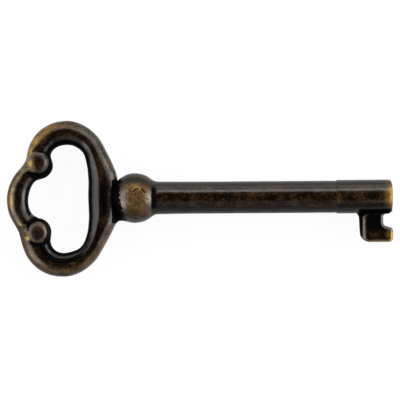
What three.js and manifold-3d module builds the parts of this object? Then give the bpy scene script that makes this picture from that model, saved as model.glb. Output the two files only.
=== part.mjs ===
// A skeleton key for a cabinet lock: a trefoil bow of two bent rods and two beads, a ball collar, a round
// shank and a hollow barrel with a notched bit. Millimetres, +Z up. The key lies flat, with its shank along X,
// the bow at -X and the bit pointing along -Y. The origin is the middle of the key, on the shank's axis.
import * as THREE from "three";
import { mergeVertices } from "three/addons/utils/BufferGeometryUtils.js";
import Module from "manifold-3d";

const wasm = await Module();
wasm.setup();

// The bow, over its two big lobes
const BOW_WIDTH = 30.7;

// The two big lobes and the small crest lobe: the circles that the middles of the rods follow. Their centres
// are measured from the bow's own middle, which lies on the shank's axis. The key isn't quite even, so the
// upper and lower lobes have sizes of their own.
const UPPER_LOBE_X = 0.53;
const UPPER_LOBE_RADIUS = 5.68;
const LOWER_LOBE_X = 0.02;
const LOWER_LOBE_RADIUS = 6.1;
const CREST_X = -2.27;
const CREST_Y = -0.17;
const CREST_RADIUS = 6.92;

// The limb is the long shallow arc on the shank's side, tangent to both big lobes.
const LIMB_RADIUS = 20.5;

// The loop rod's width, seen from above, at its ends, its crowns, its shoulders and the neck.
const UPPER_END_WIDTH = 4.45;
const UPPER_CROWN_WIDTH = 4.74;
const UPPER_SHOULDER_WIDTH = 4.22;
const NECK_WIDTH = 6.5;
const LOWER_SHOULDER_WIDTH = 3.84;
const LOWER_CROWN_WIDTH = 4.66;
const LOWER_END_WIDTH = 5.6;
const LOOP_THICKNESS = 4.4;

const CREST_WIDTH = 4.16;
const CREST_END_WIDTH = 3.75;
const CREST_THICKNESS = 4.1;

// Near a bead, each rod thins to this thickness over this length, which leaves the bead standing proud. It
// ends this far short of the bead's middle.
const END_THICKNESS = 3.4;
const END_LENGTH = 3;
const END_SHORT = 0.45;

// A bead stands in each corner between the loop and the crest, a little off the crossing of their middles.
const BEAD_DIAMETER = 4.9;
const BEAD_THICKNESS = 5.4;
const UPPER_BEAD_SHIFT_X = 0.41;
const UPPER_BEAD_SHIFT_Y = 0.29;
const LOWER_BEAD_SHIFT_X = 0.85;
const LOWER_BEAD_SHIFT_Y = -0.5;

// Each rod has a tenon in the bead. It stops short of the bead's middle, and starts inside the rod.
const ROD_TENON_DIAMETER = 1.5;
const ROD_TENON_STOP = 1;
const ROD_TENON_ROOT = 0.7;

// The ball collar, how deep it sits in the limb, and the neck pad that reaches round it from the limb.
const BALL_DIAMETER = 9.8;
const BALL_SEAT_DEPTH = 2.1;
const NECK_REACH = 2.2;
const NECK_LIP = 0.3;
const NECK_EDGE = 0.3;
const NECK_THICKNESS = 4.8;

// The shank, from the ball's flat to the barrel's shoulder, and the tenon that holds the ball and the bow.
const SHANK_DIAMETER = 6.3;
const SHANK_LENGTH = 36.07;
const TENON_DIAMETER = 2.6;
const TENON_DEPTH_IN_BOW = 2;
const TENON_CHAMFER = 0.3;

// The hollow barrel, with the spigot that holds it in the shank and the bore that takes the lock's drill pin.
const BARREL_DIAMETER = 6.6;
const BARREL_LENGTH = 11;
const BARREL_REAR_EDGE = 0.12;
const BARREL_MOUTH_EDGE = 0.45;
const SPIGOT_DIAMETER = 3.4;
const SPIGOT_LENGTH = 4;
const BORE_DIAMETER = 4;
const BORE_DEPTH = 9;
const BORE_CHAMFER = 0.2;
const DRILL_POINT = 0.9;

// The bit, from the axis down to its foot, and the notch in its front edge.
const BIT_REACH = 9;
const BIT_WIDTH = 6.4;
const BIT_THICKNESS = 2.4;
const BIT_PROUD = 0.1;
const BIT_EDGE = 0.3;
const HEEL_RADIUS = 1.6;
const TOE_RADIUS = 0.6;
const NOTCH_DEPTH = 1.95;
const NOTCH_TOP = 3.42;
const NOTCH_HEIGHT = 2.4;
const NOTCH_RADIUS = 0.9;
const NOTCH_LIP = 0.2;
const NOTCH_FLARE = 0.5;
const HEEL_SLANT = 0.45;
const ROOT_DEPTH = 0.6;

// The tongue that holds the bit in a mortise through the barrel's wall.
const TONGUE_THICKNESS = 1.7;
const TONGUE_MARGIN = 0.6;
const TONGUE_SHORT = 0.2;

// The gap in every brazed joint.
const JOINT_GAP = 0.05;

// How finely round shapes are cut into flats.
const ROUND_SIDES = 40;
const ROD_SIDES = 20;
const ROD_STEP = 0.9;
const BEAD_SIDES = 24;
const BALL_STEPS = 14;
const EDGE_STEPS = 3;

const ballRadius = BALL_DIAMETER / 2;
const shankRadius = SHANK_DIAMETER / 2;
const tenonRadius = TENON_DIAMETER / 2;
const spigotRadius = SPIGOT_DIAMETER / 2;
const barrelRadius = BARREL_DIAMETER / 2;
const boreRadius = BORE_DIAMETER / 2;

// Flat points and circles

const point = (x, y) => new THREE.Vector2(x, y);

// The two points where circles meet, the one on the left of the line from a to b first.
function crossings(a, aRadius, b, bRadius) {
  const line = b.clone().sub(a);
  const apart = line.length();
  const along = (aRadius ** 2 - bRadius ** 2 + apart ** 2) / (2 * apart);
  const aside = Math.sqrt(Math.max(0, aRadius ** 2 - along ** 2));
  const way = line.normalize();
  const left = point(-way.y, way.x);
  const foot = a.clone().addScaledVector(way, along);
  return [foot.clone().addScaledVector(left, aside), foot.clone().addScaledVector(left, -aside)];
}

const angleFrom = (centre, to) => Math.atan2(to.y - centre.y, to.x - centre.x);

const arc = (centre, radius, from, to) =>
  new THREE.EllipseCurve(centre.x, centre.y, radius, radius, from, to, to < from);

const upperLobe = point(UPPER_LOBE_X, (BOW_WIDTH - UPPER_CROWN_WIDTH) / 2 - UPPER_LOBE_RADIUS);
const lowerLobe = point(LOWER_LOBE_X, LOWER_LOBE_RADIUS - (BOW_WIDTH - LOWER_CROWN_WIDTH) / 2);
const crest = point(CREST_X, CREST_Y);
const [limb] = crossings(
  lowerLobe,
  LIMB_RADIUS - LOWER_LOBE_RADIUS,
  upperLobe,
  LIMB_RADIUS - UPPER_LOBE_RADIUS,
);

// The corner where a big lobe meets the crest, on the outer side of the bow
const crestCorner = (lobe, radius) =>
  crossings(lobe, radius, crest, CREST_RADIUS).reduce((a, b) => (b.x < a.x ? b : a));

const upperCorner = crestCorner(upperLobe, UPPER_LOBE_RADIUS);
const lowerCorner = crestCorner(lowerLobe, LOWER_LOBE_RADIUS);
const upperBead = upperCorner.clone().add(point(UPPER_BEAD_SHIFT_X, UPPER_BEAD_SHIFT_Y));
const lowerBead = lowerCorner.clone().add(point(LOWER_BEAD_SHIFT_X, LOWER_BEAD_SHIFT_Y));

// Places along the shank's axis, from the bow's middle
const limbX = limb.x + Math.sqrt(LIMB_RADIUS ** 2 - limb.y ** 2);
const ballX = limbX + NECK_WIDTH / 2 + ballRadius - BALL_SEAT_DEPTH;
const shankX = ballX + Math.sqrt(ballRadius ** 2 - shankRadius ** 2);
const barrelX = shankX + SHANK_LENGTH;
const mouthX = barrelX + BARREL_LENGTH;
const noseX = mouthX + BIT_PROUD;
const crownX = CREST_X - CREST_RADIUS - CREST_WIDTH / 2;

// Solids

function solidOf(geometry) {
  const bare = new THREE.BufferGeometry();
  bare.setAttribute("position", geometry.getAttribute("position").clone());
  bare.setIndex(geometry.index ? geometry.index.clone() : null);
  const merged = mergeVertices(bare, 1e-4);
  return new wasm.Manifold(
    new wasm.Mesh({
      numProp: 3,
      vertProperties: new Float32Array(merged.attributes.position.array),
      triVerts: new Uint32Array(merged.index.array),
    }),
  );
}

function geometryOf(solid) {
  const made = solid.getMesh();
  const geometry = new THREE.BufferGeometry();
  const places = new Float32Array(made.numVert * 3);
  for (let i = 0; i < made.numVert; i++) {
    places.set(made.vertProperties.subarray(i * made.numProp, i * made.numProp + 3), i * 3);
  }
  geometry.setAttribute("position", new THREE.BufferAttribute(places, 3));
  geometry.setIndex(new THREE.BufferAttribute(new Uint32Array(made.triVerts), 1));
  geometry.computeVertexNormals();
  return geometry;
}

// A shape turned on the X axis from a profile of [x, radius] pairs.
function turned(profile, sides = ROUND_SIDES) {
  const geometry = new THREE.LatheGeometry(
    profile.map(([x, radius]) => point(radius, x)),
    sides,
  );
  return geometry.rotateZ(-Math.PI / 2);
}

// Points round a corner of a turned or flat profile, from one angle to another.
function corner(x, y, radius, from, to, steps = EDGE_STEPS) {
  return Array.from({ length: steps + 1 }, (_, i) => {
    const angle = from + ((to - from) * i) / steps;
    return [x + radius * Math.cos(angle), y + radius * Math.sin(angle)];
  });
}

const pin = (from, to, radius) =>
  turned([
    [from, 0],
    [from, radius],
    [to, radius],
    [to, 0],
  ]);

// A bead's or ball's shape, grown by a gap for the seat that it leaves in its neighbours.
function round(x, y, diameter, thickness, sides, gap = 0) {
  const geometry = new THREE.SphereGeometry(1, sides, sides / 2);
  geometry.rotateX(Math.PI / 2);
  geometry.scale(diameter / 2 + gap, diameter / 2 + gap, thickness / 2 + gap);
  return geometry.translate(x, y, 0);
}

// A rod of oval section along a flat curve, with its width and thickness given at each share of its length.
function rod(curve, widthAt, thicknessAt) {
  const rings = Math.ceil(curve.getLength() / ROD_STEP);
  const places = [];
  const faces = [];
  for (let ring = 0; ring <= rings; ring++) {
    const share = ring / rings;
    const middle = curve.getPoint(share);
    const way = curve.getTangent(share);
    for (let side = 0; side < ROD_SIDES; side++) {
      const angle = (2 * Math.PI * side) / ROD_SIDES;
      const out = (Math.cos(angle) * widthAt(share)) / 2;
      places.push(middle.x + way.y * out, middle.y - way.x * out, (Math.sin(angle) * thicknessAt(share)) / 2);
    }
  }
  const at = (ring, side) => ring * ROD_SIDES + (side % ROD_SIDES);
  for (let ring = 0; ring < rings; ring++) {
    for (let side = 0; side < ROD_SIDES; side++) {
      faces.push(at(ring, side), at(ring + 1, side), at(ring, side + 1));
      faces.push(at(ring + 1, side), at(ring + 1, side + 1), at(ring, side + 1));
    }
  }
  for (let side = 1; side < ROD_SIDES - 1; side++) {
    faces.push(at(0, 0), at(0, side), at(0, side + 1));
    faces.push(at(rings, 0), at(rings, side + 1), at(rings, side));
  }
  const geometry = new THREE.BufferGeometry();
  geometry.setAttribute("position", new THREE.Float32BufferAttribute(places, 3));
  geometry.setIndex(faces);
  return geometry;
}

// A size that runs smoothly through [share, size] stations.
function easedThrough(stations) {
  return (share) => {
    const next = Math.max(1, stations.findIndex(([place]) => place >= share));
    const [before, sizeBefore] = stations[next - 1];
    const [after, sizeAfter] = stations[next];
    return THREE.MathUtils.lerp(sizeBefore, sizeAfter, THREE.MathUtils.smoothstep(share, before, after));
  };
}

const thinnedAtEnds = (length, full) => (share) =>
  THREE.MathUtils.lerp(
    END_THICKNESS,
    full,
    THREE.MathUtils.smoothstep(Math.min(share, 1 - share) * length, 0, END_LENGTH),
  );

// The loop: over the upper lobe from its bead, along the limb and round the lower lobe to its bead
const loopStart = angleFrom(upperLobe, upperBead) + 2 * Math.PI - END_SHORT / UPPER_LOBE_RADIUS;
const loopEnd = angleFrom(lowerLobe, lowerBead) - 2 * Math.PI + END_SHORT / LOWER_LOBE_RADIUS;
const loopArcs = [
  arc(upperLobe, UPPER_LOBE_RADIUS, loopStart, angleFrom(limb, upperLobe)),
  arc(limb, LIMB_RADIUS, angleFrom(limb, upperLobe), angleFrom(limb, lowerLobe)),
  arc(lowerLobe, LOWER_LOBE_RADIUS, angleFrom(limb, lowerLobe), loopEnd),
];
const loopPath = new THREE.CurvePath();
loopArcs.forEach((piece) => loopPath.add(piece));
const [upperLength, limbLength, lowerLength] = loopArcs.map((piece) => piece.getLength());
const loopLength = upperLength + limbLength + lowerLength;
const upperCrown = (UPPER_LOBE_RADIUS * (loopStart - Math.PI / 2)) / loopLength;
const lowerCrown = 1 - (LOWER_LOBE_RADIUS * (-Math.PI / 2 - loopEnd)) / loopLength;
const neckShare = (upperLength + LIMB_RADIUS * angleFrom(limb, upperLobe)) / loopLength;
const loopWidth = easedThrough([
  [0, UPPER_END_WIDTH],
  [upperCrown, UPPER_CROWN_WIDTH],
  [upperLength / loopLength, UPPER_SHOULDER_WIDTH],
  [neckShare, NECK_WIDTH],
  [(upperLength + limbLength) / loopLength, LOWER_SHOULDER_WIDTH],
  [lowerCrown, LOWER_CROWN_WIDTH],
  [1, LOWER_END_WIDTH],
]);
const crestStart = angleFrom(crest, upperBead) + END_SHORT / CREST_RADIUS;
const crestEnd = angleFrom(crest, lowerBead) + 2 * Math.PI - END_SHORT / CREST_RADIUS;
const crestPath = new THREE.CurvePath();
crestPath.add(arc(crest, CREST_RADIUS, crestStart, crestEnd));
const crestWidth = easedThrough([
  [0, CREST_END_WIDTH],
  [0.5, CREST_WIDTH],
  [1, CREST_END_WIDTH],
]);

// Joints

// A round pin from one place in the plane towards another, between two distances along that line.
function dowel(from, towards, start, end, radius) {
  return pin(start, end, radius).rotateZ(angleFrom(from, towards)).translate(from.x, from.y, 0);
}

const bead = (place, gap = 0) => round(place.x, place.y, BEAD_DIAMETER, BEAD_THICKNESS, BEAD_SIDES, gap);

// The place inside a rod where its tenon starts, just before the rod enters the bead
function rodEntry(path, atStart) {
  const back = (BEAD_DIAMETER / 2 + ROD_TENON_ROOT - END_SHORT) / path.getLength();
  return path.getPoint(atStart ? back : 1 - back);
}

// Each tenon points at its bead's middle.
function rodTenon(place, entry, gap = 0) {
  return dowel(place, entry, ROD_TENON_STOP - gap, place.distanceTo(entry), ROD_TENON_DIAMETER / 2 + gap);
}

const upperLoopEntry = rodEntry(loopPath, true);
const lowerLoopEntry = rodEntry(loopPath, false);
const upperCrestEntry = rodEntry(crestPath, true);
const lowerCrestEntry = rodEntry(crestPath, false);

// The bow's pieces

function loopRod(gap = 0) {
  const thickness = thinnedAtEnds(loopLength, LOOP_THICKNESS);
  return rod(
    loopPath,
    (share) => loopWidth(share) + 2 * gap,
    (share) => thickness(share) + 2 * gap,
  );
}

// Half of the ball's outline, from where a bore of some radius opens to the flat that the shank butts against
function ballOutline(bore, gap) {
  const radius = ballRadius + gap;
  const start = Math.PI - Math.asin(bore / radius);
  const end = Math.asin(shankRadius / ballRadius);
  return corner(ballX, 0, radius, start, end, BALL_STEPS);
}

function ballCollar() {
  const bore = tenonRadius + JOINT_GAP;
  const outline = ballOutline(bore, 0);
  return turned([...outline, [shankX, bore], outline[0]]);
}

const ballSeat = () => turned([...ballOutline(0, JOINT_GAP), [shankX, 0]]);

// The pad reaches out from the limb round the back of the ball, a little thicker than the limb.
function neckPad() {
  const end = ballX - ballRadius + NECK_REACH;
  const radius = Math.sqrt(ballRadius ** 2 - (end - ballX) ** 2) + NECK_LIP;
  const edge = corner(end - NECK_EDGE, radius - NECK_EDGE, NECK_EDGE, Math.PI / 2, 0);
  return turned([[limbX, 0], [limbX, radius], ...edge, [end, 0]]).scale(1, 1, NECK_THICKNESS / 2 / radius);
}

const tenonTip = ballX - ballRadius - TENON_DEPTH_IN_BOW;

function bowLoop() {
  return solidOf(loopRod())
    .add(solidOf(neckPad()))
    .subtract(solidOf(ballSeat()))
    .subtract(solidOf(pin(tenonTip - JOINT_GAP, ballX, tenonRadius + JOINT_GAP)))
    .subtract(solidOf(bead(upperBead, JOINT_GAP)))
    .subtract(solidOf(bead(lowerBead, JOINT_GAP)))
    .add(solidOf(rodTenon(upperBead, upperLoopEntry)))
    .add(solidOf(rodTenon(lowerBead, lowerLoopEntry)));
}

// The crest is scribed to the loop's flanks where the two meet beside the beads.
function bowCrest() {
  return solidOf(rod(crestPath, crestWidth, thinnedAtEnds(crestPath.getLength(), CREST_THICKNESS)))
    .subtract(solidOf(loopRod(JOINT_GAP)))
    .subtract(solidOf(bead(upperBead, JOINT_GAP)))
    .subtract(solidOf(bead(lowerBead, JOINT_GAP)))
    .add(solidOf(rodTenon(upperBead, upperCrestEntry)))
    .add(solidOf(rodTenon(lowerBead, lowerCrestEntry)));
}

function cuspBead(place, loopEntry, crestEntry) {
  return solidOf(bead(place))
    .subtract(solidOf(rodTenon(place, loopEntry, JOINT_GAP)))
    .subtract(solidOf(rodTenon(place, crestEntry, JOINT_GAP)));
}

// The shank and the barrel

function shank() {
  const socket = spigotRadius + JOINT_GAP;
  const socketEnd = barrelX - SPIGOT_LENGTH - JOINT_GAP;
  return turned([
    [tenonTip, 0],
    [tenonTip, tenonRadius - TENON_CHAMFER],
    [tenonTip + TENON_CHAMFER, tenonRadius],
    [shankX, tenonRadius],
    [shankX, shankRadius],
    [barrelX, shankRadius],
    [barrelX, socket],
    [socketEnd, socket],
    [socketEnd, 0],
  ]);
}

function barrelTube() {
  const shoulder = mouthX - BARREL_MOUTH_EDGE;
  const boreEnd = mouthX - BORE_DEPTH;
  return turned([
    [barrelX - SPIGOT_LENGTH, 0],
    [barrelX - SPIGOT_LENGTH, spigotRadius],
    [barrelX, spigotRadius],
    [barrelX, barrelRadius - BARREL_REAR_EDGE],
    [barrelX + BARREL_REAR_EDGE, barrelRadius],
    ...corner(shoulder, barrelRadius - BARREL_MOUTH_EDGE, BARREL_MOUTH_EDGE, Math.PI / 2, 0),
    [mouthX, boreRadius + BORE_CHAMFER],
    [mouthX - BORE_CHAMFER, boreRadius],
    [boreEnd, boreRadius],
    [boreEnd - DRILL_POINT, 0],
  ]);
}

// The bit

const heelX = noseX - BIT_WIDTH;
const notchX = noseX - NOTCH_DEPTH;

// A block between the heel and the notch, as the tongue and its mortise are
function tongueBlock(top, bottom, gap = 0) {
  const left = heelX + TONGUE_MARGIN - gap;
  const right = notchX - TONGUE_MARGIN + gap;
  const block = new THREE.BoxGeometry(right - left, top - bottom, TONGUE_THICKNESS + 2 * gap);
  return block.translate((left + right) / 2, (top + bottom) / 2, 0);
}

const tongue = () => tongueBlock(-boreRadius - TONGUE_SHORT, -barrelRadius - TONGUE_MARGIN);
const mortise = () => tongueBlock(-boreRadius / 2, -barrelRadius - TONGUE_MARGIN, JOINT_GAP);

function bitOutline() {
  const root = -barrelRadius + ROOT_DEPTH;
  const foot = -BIT_REACH;
  const notchTop = -NOTCH_TOP;
  const notchFoot = -NOTCH_TOP - NOTCH_HEIGHT;
  const lip = notchX + NOTCH_RADIUS + NOTCH_LIP;
  const quarter = Math.PI / 2;
  const outline = new THREE.Shape();
  outline.moveTo(heelX - HEEL_SLANT, root);
  outline.lineTo(heelX, foot + HEEL_RADIUS);
  outline.absarc(heelX + HEEL_RADIUS, foot + HEEL_RADIUS, HEEL_RADIUS, -2 * quarter, -quarter);
  outline.absarc(noseX - TOE_RADIUS, foot + TOE_RADIUS, TOE_RADIUS, -quarter, 0);
  outline.absarc(noseX - TOE_RADIUS, notchFoot - NOTCH_FLARE - TOE_RADIUS, TOE_RADIUS, 0, quarter);
  outline.absarc(notchX + NOTCH_RADIUS, notchFoot + NOTCH_RADIUS, NOTCH_RADIUS, -quarter, -2 * quarter, true);
  outline.absarc(notchX + NOTCH_RADIUS, notchTop - NOTCH_RADIUS, NOTCH_RADIUS, 2 * quarter, quarter, true);
  outline.lineTo(lip, notchTop);
  outline.lineTo(lip, root);
  return outline;
}

function bit() {
  const depth = BIT_THICKNESS - 2 * BIT_EDGE;
  const web = new THREE.ExtrudeGeometry(bitOutline(), {
    depth,
    bevelThickness: BIT_EDGE,
    bevelSize: BIT_EDGE,
    bevelOffset: -BIT_EDGE,
    bevelSegments: EDGE_STEPS,
    curveSegments: 2 * EDGE_STEPS,
  });
  return solidOf(web.translate(0, 0, -depth / 2))
    .subtract(solidOf(pin(shankX, noseX + BARREL_LENGTH, barrelRadius + JOINT_GAP)))
    .add(solidOf(tongue()));
}

// Finishes

const finish = (color, roughness) => new THREE.MeshStandardMaterial({ color, roughness, metalness: 1 });
const agedBrass = finish(0x5b4a33, 0.42);
const rubbedBrass = finish(0x8d7238, 0.36);
const drawnBrass = finish(0x4f4337, 0.34);

function piece(name, solid, material) {
  const mesh = new THREE.Mesh(geometryOf(solid), material);
  mesh.name = name;
  return mesh;
}

const key = new THREE.Group();
key.add(
  piece("bow_loop", bowLoop(), agedBrass),
  piece("bow_crest", bowCrest(), agedBrass),
  piece("upper_cusp_bead", cuspBead(upperBead, upperLoopEntry, upperCrestEntry), rubbedBrass),
  piece("lower_cusp_bead", cuspBead(lowerBead, lowerLoopEntry, lowerCrestEntry), rubbedBrass),
  piece("ball_collar", solidOf(ballCollar()), rubbedBrass),
  piece("shank", solidOf(shank()), drawnBrass),
  piece("bit_barrel", solidOf(barrelTube()).subtract(solidOf(mortise())), drawnBrass),
  piece("bit", bit(), agedBrass),
);

// The origin moves from the bow's middle to the middle of the whole key.
key.position.x = -(crownX + noseX) / 2;

export default key;
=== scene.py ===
# %% [markdown]
# # A skeleton key in antique brass
#
# A key for a cabinet lock: a trefoil bow of bent rod, a ball, a round shank, and a hollow barrel with a
# notched bit. The metal is brass under a dark brown patina. The patina has worn through where hands and
# pockets rub. Black lies in the corners, partly as real grime and partly as painted shade, and a few
# painted highlights brighten the rubbed brass.
#
# The imported model gives each piece its place and size, in metres. This script makes the smooth, finished
# surface of each piece in that same place. The key lies along X with its barrel's mouth at +X and its bit
# towards -Y.

# %% Load the frame
import math

import bmesh
import bpy
from mathutils import Matrix, Vector, noise
from mathutils.kdtree import KDTree


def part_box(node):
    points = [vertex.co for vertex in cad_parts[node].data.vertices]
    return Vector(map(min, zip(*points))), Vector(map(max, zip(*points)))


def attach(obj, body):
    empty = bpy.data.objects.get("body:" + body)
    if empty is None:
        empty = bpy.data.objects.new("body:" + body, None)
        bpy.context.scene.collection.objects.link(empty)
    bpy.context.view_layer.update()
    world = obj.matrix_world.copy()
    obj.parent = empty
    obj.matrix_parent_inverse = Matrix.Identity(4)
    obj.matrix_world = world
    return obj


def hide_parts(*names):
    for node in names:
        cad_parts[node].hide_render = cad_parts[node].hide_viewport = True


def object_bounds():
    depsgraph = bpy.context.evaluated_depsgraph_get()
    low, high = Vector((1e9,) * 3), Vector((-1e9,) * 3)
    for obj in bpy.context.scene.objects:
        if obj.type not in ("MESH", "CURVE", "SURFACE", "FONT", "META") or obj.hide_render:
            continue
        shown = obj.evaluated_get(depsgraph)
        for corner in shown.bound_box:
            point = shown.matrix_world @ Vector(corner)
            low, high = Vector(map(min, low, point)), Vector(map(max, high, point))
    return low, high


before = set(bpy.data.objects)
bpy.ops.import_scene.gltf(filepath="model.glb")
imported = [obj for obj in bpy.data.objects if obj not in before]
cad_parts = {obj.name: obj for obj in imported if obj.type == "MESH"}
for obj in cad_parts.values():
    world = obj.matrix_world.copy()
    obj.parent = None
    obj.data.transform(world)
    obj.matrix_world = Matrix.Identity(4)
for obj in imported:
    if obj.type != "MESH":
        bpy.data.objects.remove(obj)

MM = 0.001
cad_low, cad_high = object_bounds()
print("nodes:", sorted(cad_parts))
print("size in mm:", [round(side / MM, 2) for side in cad_high - cad_low])

# %% [markdown]
# ## Where things are
#
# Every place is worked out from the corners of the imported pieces, so the dressed piece can't drift from
# the solid that it stands for. The bow's own circles aren't corners of any box, so their real sizes are
# written here once, measured from the bow's middle.

# %% Places along the shank
crest_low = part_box("bow_crest")[0]
ball_low, ball_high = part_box("ball_collar")
shank_low, shank_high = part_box("shank")
barrel_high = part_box("bit_barrel")[1]
bit_low, bit_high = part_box("bit")

BALL_RADIUS = (ball_high.z - ball_low.z) / 2
SHANK_RADIUS = shank_high.z
BARREL_RADIUS = barrel_high.z
TENON_RADIUS = 1.3 * MM
BALL_X = ball_high.x - math.sqrt(BALL_RADIUS**2 - SHANK_RADIUS**2)
SHANK_X = ball_high.x
BARREL_X = shank_high.x
MOUTH_X = barrel_high.x
BOW_X = crest_low.x + 11.27 * MM
print("ball at", round(BALL_X / MM, 2), "barrel from", round(BARREL_X / MM, 2), "to", round(MOUTH_X / MM, 2))

# %% The bow's circles
UPPER_LOBE = Vector((BOW_X + 0.53 * MM, 7.3 * MM))
UPPER_RADIUS = 5.68 * MM
LOWER_LOBE = Vector((BOW_X + 0.08 * MM, -6.96 * MM))
LOWER_RADIUS = 6.1 * MM
CREST = Vector((BOW_X - 2.27 * MM, -0.17 * MM))
CREST_RADIUS = 6.92 * MM
LIMB_RADIUS = 20.5 * MM


def crossings(a, a_radius, b, b_radius):
    """The two points where two circles meet, the one on the left of the way from a to b first."""
    apart = (b - a).length
    along = (a_radius**2 - b_radius**2 + apart**2) / (2 * apart)
    aside = math.sqrt(a_radius**2 - along**2)
    way = (b - a) / apart
    left = Vector((-way.y, way.x))
    return [a + way * along + left * aside, a + way * along - left * aside]


def angle_from(centre, to):
    return math.atan2(to.y - centre.y, to.x - centre.x)


LIMB = crossings(LOWER_LOBE, LIMB_RADIUS - LOWER_RADIUS, UPPER_LOBE, LIMB_RADIUS - UPPER_RADIUS)[0]
UPPER_BEAD = min(crossings(UPPER_LOBE, UPPER_RADIUS, CREST, CREST_RADIUS), key=lambda place: place.x)
UPPER_BEAD += Vector((0.41, 0.29)) * MM
LOWER_BEAD = min(crossings(LOWER_LOBE, LOWER_RADIUS, CREST, CREST_RADIUS), key=lambda place: place.x)
LOWER_BEAD += Vector((0.79, -0.46)) * MM
print("beads at", [[round(c / MM, 2) for c in place] for place in (UPPER_BEAD, LOWER_BEAD)])

# %% [markdown]
# ## Camera
#
# The photograph looks straight down on the key. A long lens far away shows hardly any perspective, as in
# a product photograph. The key lies very slightly turned, which the camera takes up by rolling.

# %% Make the camera
PHOTO_WIDTH = 400
MM_PER_PIXEL = 0.1978
CAMERA_HEIGHT = 0.6
KEY_TURN = math.radians(0.4)
KEY_MIDDLE_IN_PHOTO = Vector((199.9, 197.6))

camera = bpy.data.objects.new("camera", bpy.data.cameras.new("camera"))
bpy.context.scene.collection.objects.link(camera)
bpy.context.scene.camera = camera
camera.data.sensor_width = 36
camera.data.lens = camera.data.sensor_width * CAMERA_HEIGHT / (PHOTO_WIDTH * MM_PER_PIXEL * MM)
off = (Vector((PHOTO_WIDTH, PHOTO_WIDTH)) / 2 - KEY_MIDDLE_IN_PHOTO) * MM_PER_PIXEL * MM
camera.location = (off.x, -off.y, CAMERA_HEIGHT)
camera.rotation_euler = (0, 0, -KEY_TURN)
print("lens", round(camera.data.lens, 1), "mm")

# %% [markdown]
# ## Helpers for shaping metal
#
# Turned pieces come from half an outline spun round the shank's axis, as on a lathe. A full turn of
# `spin` with `use_merge` closes on itself. An outline that starts and ends on the axis makes a closed
# solid.


# %% Turn an outline on the lathe
def arc_points(x, y, radius, start, end, steps):
    """Points round a corner, from one angle to another."""
    angles = [start + (end - start) * step / steps for step in range(steps + 1)]
    return [(x + radius * math.cos(angle), y + radius * math.sin(angle)) for angle in angles]


def spaced(outline, gap):
    """The same outline with points added, so that no two are further apart than gap."""
    points = [outline[0]]
    for (x0, y0), (x1, y1) in zip(outline, outline[1:]):
        steps = max(1, math.ceil(math.hypot(x1 - x0, y1 - y0) / gap))
        points += [(x0 + (x1 - x0) * s / steps, y0 + (y1 - y0) * s / steps) for s in range(1, steps + 1)]
    return points


def turned(outline, sides=96):
    """A bmesh spun round the X axis from [x, radius] points."""
    bm = bmesh.new()
    verts = [bm.verts.new((x, radius, 0)) for x, radius in outline]
    for a, b in zip(verts, verts[1:]):
        bm.edges.new((a, b))
    bmesh.ops.spin(
        bm, geom=bm.verts[:] + bm.edges[:], axis=(1, 0, 0), angle=2 * math.pi, steps=sides, use_merge=True
    )
    bmesh.ops.remove_doubles(bm, verts=bm.verts, dist=0.001 * MM)
    bmesh.ops.recalc_face_normals(bm, faces=bm.faces)
    return bm


def smoothstep(low, high, value):
    """A smooth rise from 0 at low to 1 at high, or a fall where high is the smaller one."""
    share = min(1, max(0, (value - low) / (high - low)))
    return share * share * (3 - 2 * share)


print("halfway up a smooth rise:", smoothstep(0, 1, 0.5))


# %% [markdown]
# ## Helpers for finishing a piece
#
# Four numbers are stored at each point of a piece. `rub_and_highlight` says how far the patina is worn
# away, and in a few places paints a highlight brighter; `grime_and_shade` how thick the black is, which is
# real grime in corners and painted shade where the key should look dark; `rust` how many reddish specks
# there are, and `gloss` how waxed the surface is. They could be painted by hand, but a rule that works them
# out from a point's place gives the same wear and painted light in each run. The materials read all four,
# so that wear sits where the real key has it, and painted shade and highlights sit where the key looks
# dark or bright.


# %% Store wear on a piece and put it in place
SKIN = 0.03 * MM
WEAR_KINDS = ("rub_and_highlight", "grime_and_shade", "rust", "gloss")


def finished(name, bm, wear, node, sharp=60):
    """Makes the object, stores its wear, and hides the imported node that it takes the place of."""
    bm.normal_update()
    mesh = bpy.data.meshes.new(name)
    bm.to_mesh(mesh)
    bm.free()
    mesh.polygons.foreach_set("use_smooth", [True] * len(mesh.polygons))
    mesh.set_sharp_from_angle(angle=math.radians(sharp))
    stored = [mesh.attributes.new(kind, "FLOAT", "POINT") for kind in WEAR_KINDS]
    for vertex in mesh.vertices:
        for attribute, amount in zip(stored, wear(vertex.co / MM, vertex.normal)):
            attribute.data[vertex.index].value = amount
    piece = bpy.data.objects.new(name, mesh)
    bpy.context.scene.collection.objects.link(piece)
    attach(piece, "root")
    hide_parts(node)
    print(name, len(mesh.vertices), "points")
    return piece


def roughened(bm, height, grain, seed):
    """Moves each point out by the patina's skin and a little more or less, as a casting isn't quite true."""
    bm.normal_update()
    shift = Vector((seed, seed, seed))
    for vert in bm.verts:
        vert.co += vert.normal * (SKIN + height * noise.noise(vert.co / grain + shift))


print("the patina's skin:", SKIN / MM, "mm")


# %% [markdown]
# ## The shank
#
# A plain round rod. At the ball it has a tenon that runs through the ball into the bow, and at the other
# end a socket for the barrel's spigot. It flares into the ball as a cast fillet does.

# %% Turn the shank
SPIGOT_RADIUS = 1.7 * MM
SPIGOT_LENGTH = 4 * MM
JOINT_GAP = 0.05 * MM
FILLET = 0.5 * MM
FILLET_LENGTH = 1.5 * MM
FLARE = 0.06 * MM
FLARE_LENGTH = 9 * MM

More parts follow.
